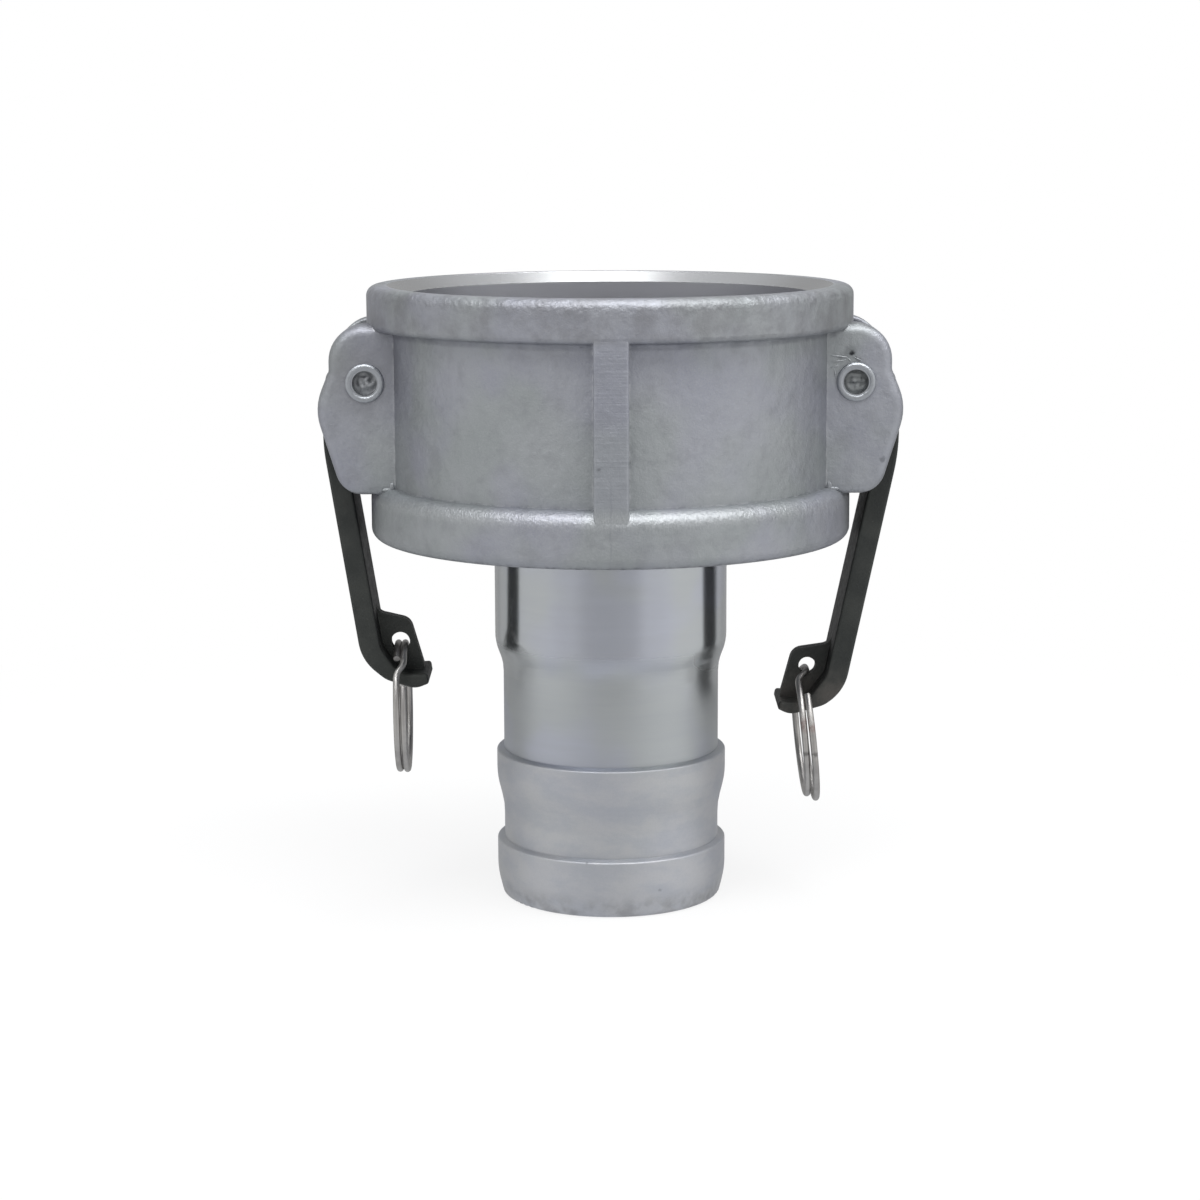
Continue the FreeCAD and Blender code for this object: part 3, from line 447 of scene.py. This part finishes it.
def casting_roughness(g, grain, worn, area):
    """Rough where it is cast, smooth on the collar, and between those towards the barbs."""
    root = g.ramp(area.z, BARB_TOPS[1] + 10.0, COLLAR_FOOT - 2.0, 0.46, 0.29)
    rough = g.blend(area.turned, g.ramp(grain, 0.3, 0.7, 0.46, 0.6), root)
    polished = g.times(area.turned, g.ramp(area.x, 4.0, 24.0), g.ramp(area.z, 42.0, 56.0))
    rough = g.blend(polished, rough, 0.27)
    rough = g.blend(area.collar, rough, 0.16)
    rough = g.blend(area.barbs, rough, g.ramp(grain, 0.3, 0.7, 0.49, 0.59))
    rough = g.blend(area.socket, rough, 0.38)
    rough = g.blend(area.lead_in, rough, 0.27)
    return g.blend(worn, rough, 0.3)


def casting_relief(g, place, area):
    """Blasted skin with soft dents, uneven edges, tool marks on the ribs and fine turning marks."""
    blasted = g.noise(place, 3.0, roughness=0.6)
    dents = g.noise(place, 0.36)
    nicks = g.less(g.noise(place, 0.34, detail=5.0, roughness=0.6), 0.5)
    ticks = g.less(g.noise(g.stretched(place, (1.0, 1.0, 0.35)), 1.7, roughness=0.6), 0.5)
    tool_marks = g.noise(g.stretched(place, (0.06, 0.06, 1.9)), 1.0)
    turning = g.noise(g.stretched(place, (0.02, 0.02, 4.0)), 1.0, detail=2.0)
    skin = g.plus(
        g.times(blasted, 0.06), g.times(dents, 0.26),
        g.times(nicks, g.band(area.z, MOUTH - 3.0, MOUTH + 3.0, 1.6), 0.6),
        g.times(ticks, g.band(area.z, BAND_TOP - 4.2, BAND_TOP - 0.2, 1.0), 0.2),
        g.times(tool_marks, area.rib, 0.09),
    )
    machined = g.most(area.turned, area.socket, area.lead_in)
    height = g.blend(machined, skin, g.times(turning, 0.008))
    return g.plus(height, g.times(area.barbs, blasted, 0.03))


def cast_aluminium(wear):
    """Shot-blasted casting above, turned bright on the shank, the socket and its lead-in."""
    material, g = new_material("cast_aluminium")
    place = g.place()
    area = casting_areas(g, place)
    grain = g.noise(place, 2.2, detail=5.0, roughness=0.75)
    colour = casting_colour(g, place, grain, area)
    # Painted shade in the creases and round the pins, and a dark line along the band's lower edge
    colour = g.mix(casting_shade_and_dark_edge(g, place, area), colour, SHADE_AND_DARK_EDGE)
    colour = casting_marks(g, place, colour, area)
    worn = casting_wear_and_highlight(g, place, grain, area, wear)
    # Worn edges, and the painted speckled highlight on the band's top
    colour = g.mix(worn, colour, WORN_AND_HIGHLIT_METAL)
    uneven = g.wobbled(place, 1.1, 1.1)
    for point, radius, darkness in FLAWS:
        colour = g.mix(g.times(g.near(uneven, point, radius, radius * 0.6), darkness), colour, FLAW)
    rough = casting_roughness(g, grain, worn, area)
    normal = g.bump(casting_relief(g, place, area))
    g.finish(Base_Color=colour, Metallic=0.92, Roughness=rough, Normal=normal)
    return material


# The other materials

def black_coating():
    """Satin black paint over a cast lever, thin on its edges, brownish where a hand holds it, and with
    painted shade on the faces turned towards the shank.
    """
    material, g = new_material("lever_black")
    place = g.place()
    x, y, z = g.split(place)
    colour = g.mix(g.ramp(g.noise(place, 0.12), 0.35, 0.65), PAINT_DARK, PAINT_LIGHT)
    patches = g.ramp(g.noise(place, 0.3), 0.3, 0.65, 0.2, 0.8)
    handled = g.times(g.ramp(z, 56.0, 47.0), g.ramp(x, 0.0, 5.0), patches)
    colour = g.mix(handled, colour, PAINT_HANDLED)
    # Painted shade: faces turned towards the shank are darkened
    facing = g.split(g.add("ShaderNodeTexCoord").outputs["Normal"])[0]
    shaded_inward = g.times(facing, g.math("SIGN", x), -1.0)
    colour = g.mix(g.ramp(shaded_inward, 0.4, 0.95, 0.0, 0.8), colour, PAINTED_SHADE_INWARD)
    worn = g.times(g.edges(0.5, 3.2), g.ramp(g.noise(place, 0.9, detail=4.0), 0.4, 0.66), 0.35)
    colour = g.mix(worn, colour, PAINT_EDGE)
    specks = g.ramp(g.noise(place, 1.6, detail=2.0), 0.70, 0.76)
    colour = g.mix(g.times(specks, 0.3), colour, PAINT_SPECK)
    rough = g.ramp(g.noise(place, 0.8), 0.3, 0.7, 0.5, 0.64)
    relief = g.plus(
        g.times(g.noise(place, 1.5, detail=2.0), 0.07), g.times(g.noise(place, 5.0, detail=2.0), 0.02)
    )
    g.finish(Base_Color=colour, Roughness=rough, Specular_IOR_Level=0.3, Normal=g.bump(relief))
    return material


def pin_steel():
    """Turned steel, bright on the staked lip and darker in the hollow."""
    material, g = new_material("pin_steel")
    place = g.place()
    x, y, z = g.split(place)
    grain = g.noise(place, 2.2, detail=4.0)
    hollow = g.fall(from_pins(g, x, z), HOLLOW_RADIUS - 0.02, HOLLOW_RADIUS + 0.11)
    colour = g.mix(hollow, g.mix(grain, PIN_DARK, PIN_LIGHT), PIN_HOLLOW)
    rough = g.blend(hollow, g.ramp(grain, 0.3, 0.7, 0.34, 0.46), 0.45)
    scuffs = g.times(g.noise(place, 1.8, detail=4.0), 0.08)
    g.finish(Base_Color=colour, Metallic=1.0, Roughness=rough, Normal=g.bump(scuffs))
    return material


def hollow_steel():
    """The punched floor of a pin's hollow, darker on the right."""
    material, g = new_material("hollow_steel")
    place = g.place()
    grain = g.noise(place, 0.8)
    colour = g.mix(g.ramp(grain, 0.35, 0.65), PUNCHED_DARK, PUNCHED_LIGHT)
    x = g.split(place)[0]
    colour = g.mix(g.ramp(x, -1.0, 1.0, 0.0, 0.5), colour, PUNCHED_RIGHT)
    rough = g.ramp(grain, 0.3, 0.7, 0.52, 0.62)
    relief = g.times(g.noise(place, 2.0), 0.04)
    g.finish(Base_Color=colour, Metallic=1.0, Roughness=rough, Normal=g.bump(relief))
    return material


def ring_steel():
    """Drawn stainless wire with scuffs, and a rusty tint and dark spots low on the right ring."""
    material, g = new_material("ring_steel")
    place = g.place()
    x, y, z = g.split(place)
    colour = g.mix(g.ramp(g.noise(place, 0.22), 0.35, 0.65), WIRE_DARK, WIRE_LIGHT)
    front_right = g.times(g.ramp(x, 0.0, 5.0), g.fall(y, -4.0, -3.0), 0.6)
    tinted = g.times(g.band(z, 40.4, 43.2, 0.9), g.ramp(g.noise(place, 0.9), 0.35, 0.6))
    colour = g.mix(g.times(tinted, front_right), colour, WIRE_RUSTY)
    spots = g.times(g.band(z, 34.7, 35.7, 0.4), g.ramp(g.noise(place, 1.4, detail=2.0), 0.4, 0.55))
    colour = g.mix(g.times(spots, front_right), colour, WIRE_SPOT)
    rough = g.ramp(g.noise(place, 0.8), 0.3, 0.7, 0.36, 0.46)
    relief = g.times(g.noise(place, 1.2, detail=2.0), 0.005)
    g.finish(Base_Color=colour, Metallic=1.0, Roughness=rough, Normal=g.bump(relief))
    return material


def gasket_rubber():
    """Matt black rubber with a little bloom."""
    material, g = new_material("gasket_rubber")
    place = g.place()
    colour = g.mix(g.ramp(g.noise(place, 0.25, detail=4.0), 0.45, 0.7), RUBBER, RUBBER_BLOOM)
    rough = g.ramp(g.noise(place, 1.2), 0.3, 0.7, 0.62, 0.8)
    relief = g.times(g.noise(place, 2.5), 0.04)
    g.finish(Base_Color=colour, Roughness=rough, Normal=g.bump(relief))
    return material


aluminium = cast_aluminium(wear=0.55)
unworn_unhighlit_aluminium = cast_aluminium(wear=0.05)
finishes = {
    "coupler_body": aluminium,
    "gasket": gasket_rubber(),
    "lever_left": black_coating(),
    "pin_left": pin_steel(),
    "ring_left": ring_steel(),
}
for twin in ("lever", "pin", "ring"):
    finishes[twin + "_right"] = finishes[twin + "_left"]
for name, material in finishes.items():
    slots = nodes[name].material_slots
    if not slots:
        nodes[name].data.materials.append(material)
    for material_slot in slots:
        material_slot.material = material


# Small pieces on the casting and the pins

def new_piece(name, vertices, faces, material, slot, body="coupler"):
    """A mesh in millimetres that rides on a body."""
    mesh = bpy.data.meshes.new(name)
    mesh.from_pydata([Vector(v) * MM for v in vertices], [], faces)
    mesh.validate()
    mesh.polygons.foreach_set("use_smooth", [True] * len(mesh.polygons))
    mesh.materials.append(material)
    piece = bpy.data.objects.new(name, mesh)
    bpy.context.scene.collection.objects.link(piece)
    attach(piece, body)
    return piece


def join_meshes(parts):
    """One list of vertices and faces from several."""
    vertices, faces = [], []
    for part_vertices, part_faces in parts:
        first = len(vertices)
        vertices += part_vertices
        faces += [tuple(first + index for index in face) for face in part_faces]
    return vertices, faces


def turned_over(faces):
    return [tuple(reversed(face)) for face in faces]


def fan(tip, first, around):
    """Triangles from a tip to a closed loop of vertices."""
    return [(tip, first + step, first + (step + 1) % around) for step in range(around)]


def quads(loops, around, first=0):
    """Quads between closed loops of vertices that follow one another."""
    faces = []
    for loop in range(loops - 1):
        start = first + loop * around
        for step in range(around):
            here, there = start + step, start + (step + 1) % around
            faces.append((here, here + around, there + around, there))
    return faces


def turns(around):
    """Angles of a closed loop's vertices."""
    return [2 * math.pi * step / around for step in range(around)]


def lump(centre, size, seed, rings=10, around=16):
    """Vertices and faces of an uneven pebble, its half sizes along X, Y and Z."""
    def vertex(tilt, turn):
        level = math.sin(tilt)
        direction = Vector((level * math.cos(turn), level * math.sin(turn), math.cos(tilt)))
        swell = 1 + 0.12 * noise.noise(direction * 1.7 + Vector((seed, 0, 0)))
        return [c + d * s * swell for c, d, s in zip(centre, direction, size)]

    vertices = [vertex(0, 0)]
    for ring in range(1, rings):
        vertices += [vertex(math.pi * ring / rings, turn) for turn in turns(around)]
    bottom = len(vertices)
    vertices.append(vertex(math.pi, 0))
    faces = fan(0, 1, around) + quads(rings - 1, around, first=1)
    return vertices, faces + turned_over(fan(bottom, bottom - around, around))


def hollow_floor(x_side, y_side, rings=12, around=36):
    """A lumpy disc just over the domed floor of a pin's hollow."""
    def vertex(share, turn):
        across = HOLLOW_RADIUS * share * math.cos(turn)
        up = HOLLOW_RADIUS * share * math.sin(turn)
        seed = Vector((across * 0.75 + 7 * x_side, up * 0.75, 3.0 * y_side))
        rough = 0.55 * noise.noise(seed) + 0.14 * noise.noise(seed * 2.5)
        depth = HOLLOW_FLOOR + HOLLOW_DOME * (1 - share) + 0.35 + rough * (1 - share ** 4)
        return (PIN_OFFSET * x_side + across, depth * y_side, PIN_HEIGHT + up)

    vertices = [vertex(0, 0)]
    for ring in range(1, rings + 1):
        vertices += [vertex(ring / rings, turn) for turn in turns(around)]
    faces = fan(0, 1, around) + quads(rings, around, first=1)
    return vertices, turned_over(faces) if y_side > 0 else faces


def staked_lip(x_side, y_side, around=64):
    """A rounded collar that the punch left, a little uneven round its crown."""
    vertices = []
    for reach, rise in LIP:
        for turn in turns(around):
            direction = Vector((math.cos(turn), math.sin(turn), 0))
            swell = noise.noise(direction * 1.3 + Vector((5 * x_side, 0, 4 * y_side)))
            height = rise + 0.1 * swell * max(0.0, 1 - abs(reach - LIP_CROWN) / 0.8)
            across, up = (reach + 0.03 * swell) * direction.x, (reach + 0.03 * swell) * direction.y
            vertices.append((PIN_OFFSET * x_side + across, (PIN_END + height) * y_side, PIN_HEIGHT + up))
    faces = quads(len(LIP), around)
    return vertices, turned_over(faces) if y_side > 0 else faces


def sliver(rng, start, end, width, height, steps=8):
    """A raised burr on the ear's front face, pointed at both ends."""
    start, end = Vector((start[0], 0, start[1])), Vector((end[0], 0, end[1]))
    along = end - start
    side = Vector((-along.z, 0, along.x)).normalized() * width
    vertices, faces = [], []
    for step in range(steps + 1):
        share = step / steps
        swell = math.sin(math.pi * share) ** 0.7 * rng.uniform(0.75, 1.1) + 0.02
        middle = start + along * share
        for offset, rise in ((-1, -0.3), (-0.4, 0.75), (0.1, 1.0), (1, -0.3)):
            point = middle + side * offset * swell
            vertices.append((point.x, -EAR_FACE - height * rise * swell, point.z))
    for step in range(steps):
        for strip in range(3):
            first = step * 4 + strip
            faces.append((first, first + 4, first + 5, first + 1))
    return vertices, faces


for corner, x_side, y_side in CORNERS:
    seeds = (3.1 * x_side + 1.7 * y_side, 3.1 * x_side + 1.7 * y_side + 9)
    lumps = [
        lump((across * x_side, out * y_side, up), size, seed)
        for ((across, out, up), size), seed in zip(FLASH, seeds)
    ]
    new_piece("ear_flash_" + corner, *join_meshes(lumps), unworn_unhighlit_aluminium, "cast_aluminium")

hollow_material = hollow_steel()
for corner, x_side, y_side in CORNERS:
    new_piece("pin_hollow_" + corner, *hollow_floor(x_side, y_side), hollow_material, "pin_steel")
for corner, x_side, y_side in CORNERS:
    new_piece("pin_lip_" + corner, *staked_lip(x_side, y_side), finishes["pin_left"], "pin_steel")

rng = random.Random(7)
burrs = join_meshes([sliver(rng, *mark) for mark in CHISEL_MARKS])
new_piece("ear_burrs", *burrs, aluminium, "cast_aluminium")


# Floor, light and camera

def seen_directly(g):
    """One for what the camera sees, also through glass."""
    path = g.add("ShaderNodeLightPath").outputs
    return g.most(path["Is Camera Ray"], path["Is Transmission Ray"])


def plain_floor(reach=2.0, sides=96, drop=0.0001):
    """A pale disc under the coupler, in metres, white to the camera apart from the shadow."""
    rim = [(reach * math.cos(turn), reach * math.sin(turn), -drop) for turn in turns(sides)]
    mesh = bpy.data.meshes.new("floor")
    mesh.from_pydata(rim, [], [tuple(range(sides))])
    floor = bpy.data.objects.new("floor", mesh)
    bpy.context.scene.collection.objects.link(floor)
    material, g = new_material("floor")
    x, y, _ = g.split(g.place())
    shown = g.times(seen_directly(g), g.ramp(g.length(x, y), 60.0, 330.0, 0.8, 1.0))
    paint = g.add("ShaderNodeBsdfDiffuse", {"Color": FLOOR_PAINT}).outputs[0]
    white = g.add("ShaderNodeEmission", {"Color": WHITE, "Strength": 1.0}).outputs[0]
    surface = g.add("ShaderNodeMixShader", {0: shown, 1: paint, 2: white}).outputs[0]
    g.add("ShaderNodeOutputMaterial", {"Surface": surface})
    mesh.materials.append(material)
    floor.visible_glossy = False


def studio_world():
    """White behind the object, and a soft studio round it with two dark gaps at the sides."""
    world = bpy.data.worlds.new("studio")
    world.use_nodes = True
    bpy.context.scene.world = world
    g = Graph(world.node_tree)
    x, y, z = g.split(g.add("ShaderNodeTexCoord").outputs["Generated"])
    angle = g.math("ARCTAN2", x, g.times(y, -1.0))
    curve = g.add("ShaderNodeValToRGB", {"Fac": g.math("MULTIPLY_ADD", angle, 0.5 / math.pi, 0.5)})
    curve.color_ramp.interpolation = "EASE"
    stops = curve.color_ramp.elements
    for index, (degrees, level) in enumerate(STUDIO):
        stop = stops[index] if index < 2 else stops.new(1.0)
        stop.position = (degrees + 180) / 360
        stop.color = (level, level, level, 1)
    studio = g.mix(g.ramp(g.size(z), 0.45, 0.75), curve.outputs["Color"], STUDIO_ABOVE)
    colour = g.mix(seen_directly(g), studio, WHITE)
    surface = g.add("ShaderNodeBackground", {"Color": colour, "Strength": 1.0}).outputs[0]
    g.add("ShaderNodeOutputWorld", {"Surface": surface})


def softbox(name, place, size, power, aim=(0, 0, 0.1)):
    """A rectangular lamp that faces a point, in metres and watts."""
    lamp = bpy.data.lights.new(name, "AREA")
    lamp.shape = "RECTANGLE"
    lamp.size, lamp.size_y = size
    lamp.energy = power
    item = bpy.data.objects.new(name, lamp)
    item.location = place
    direction = Vector(aim) - Vector(place)
    item.rotation_euler = direction.to_track_quat("-Z", "Y").to_euler()
    bpy.context.scene.collection.objects.link(item)


def photo_camera():
    data = bpy.data.cameras.new("camera")
    data.sensor_fit = "HORIZONTAL"
    data.sensor_width = SENSOR_WIDTH
    data.lens = CAMERA_LENS
    data.clip_start, data.clip_end = 0.01, 20
    camera = bpy.data.objects.new("camera", data)
    tilt = Matrix.Rotation(math.radians(90 - CAMERA_PITCH), 4, "X")
    roll = Matrix.Rotation(math.radians(CAMERA_ROLL), 4, "Z")
    camera.matrix_world = Matrix.Translation(Vector(CAMERA_PLACE) * MM) @ tilt @ roll
    bpy.context.scene.collection.objects.link(camera)
    bpy.context.scene.camera = camera


plain_floor()
studio_world()
softbox("overhead", place=(0.05, 0.30, 1.05), size=(0.31, 0.34), power=1.7)
softbox("front_top", place=(0.13, -0.42, 0.96), size=(1.7, 0.5), power=12.4)
photo_camera()
bpy.context.scene.view_settings.view_transform = "Standard"
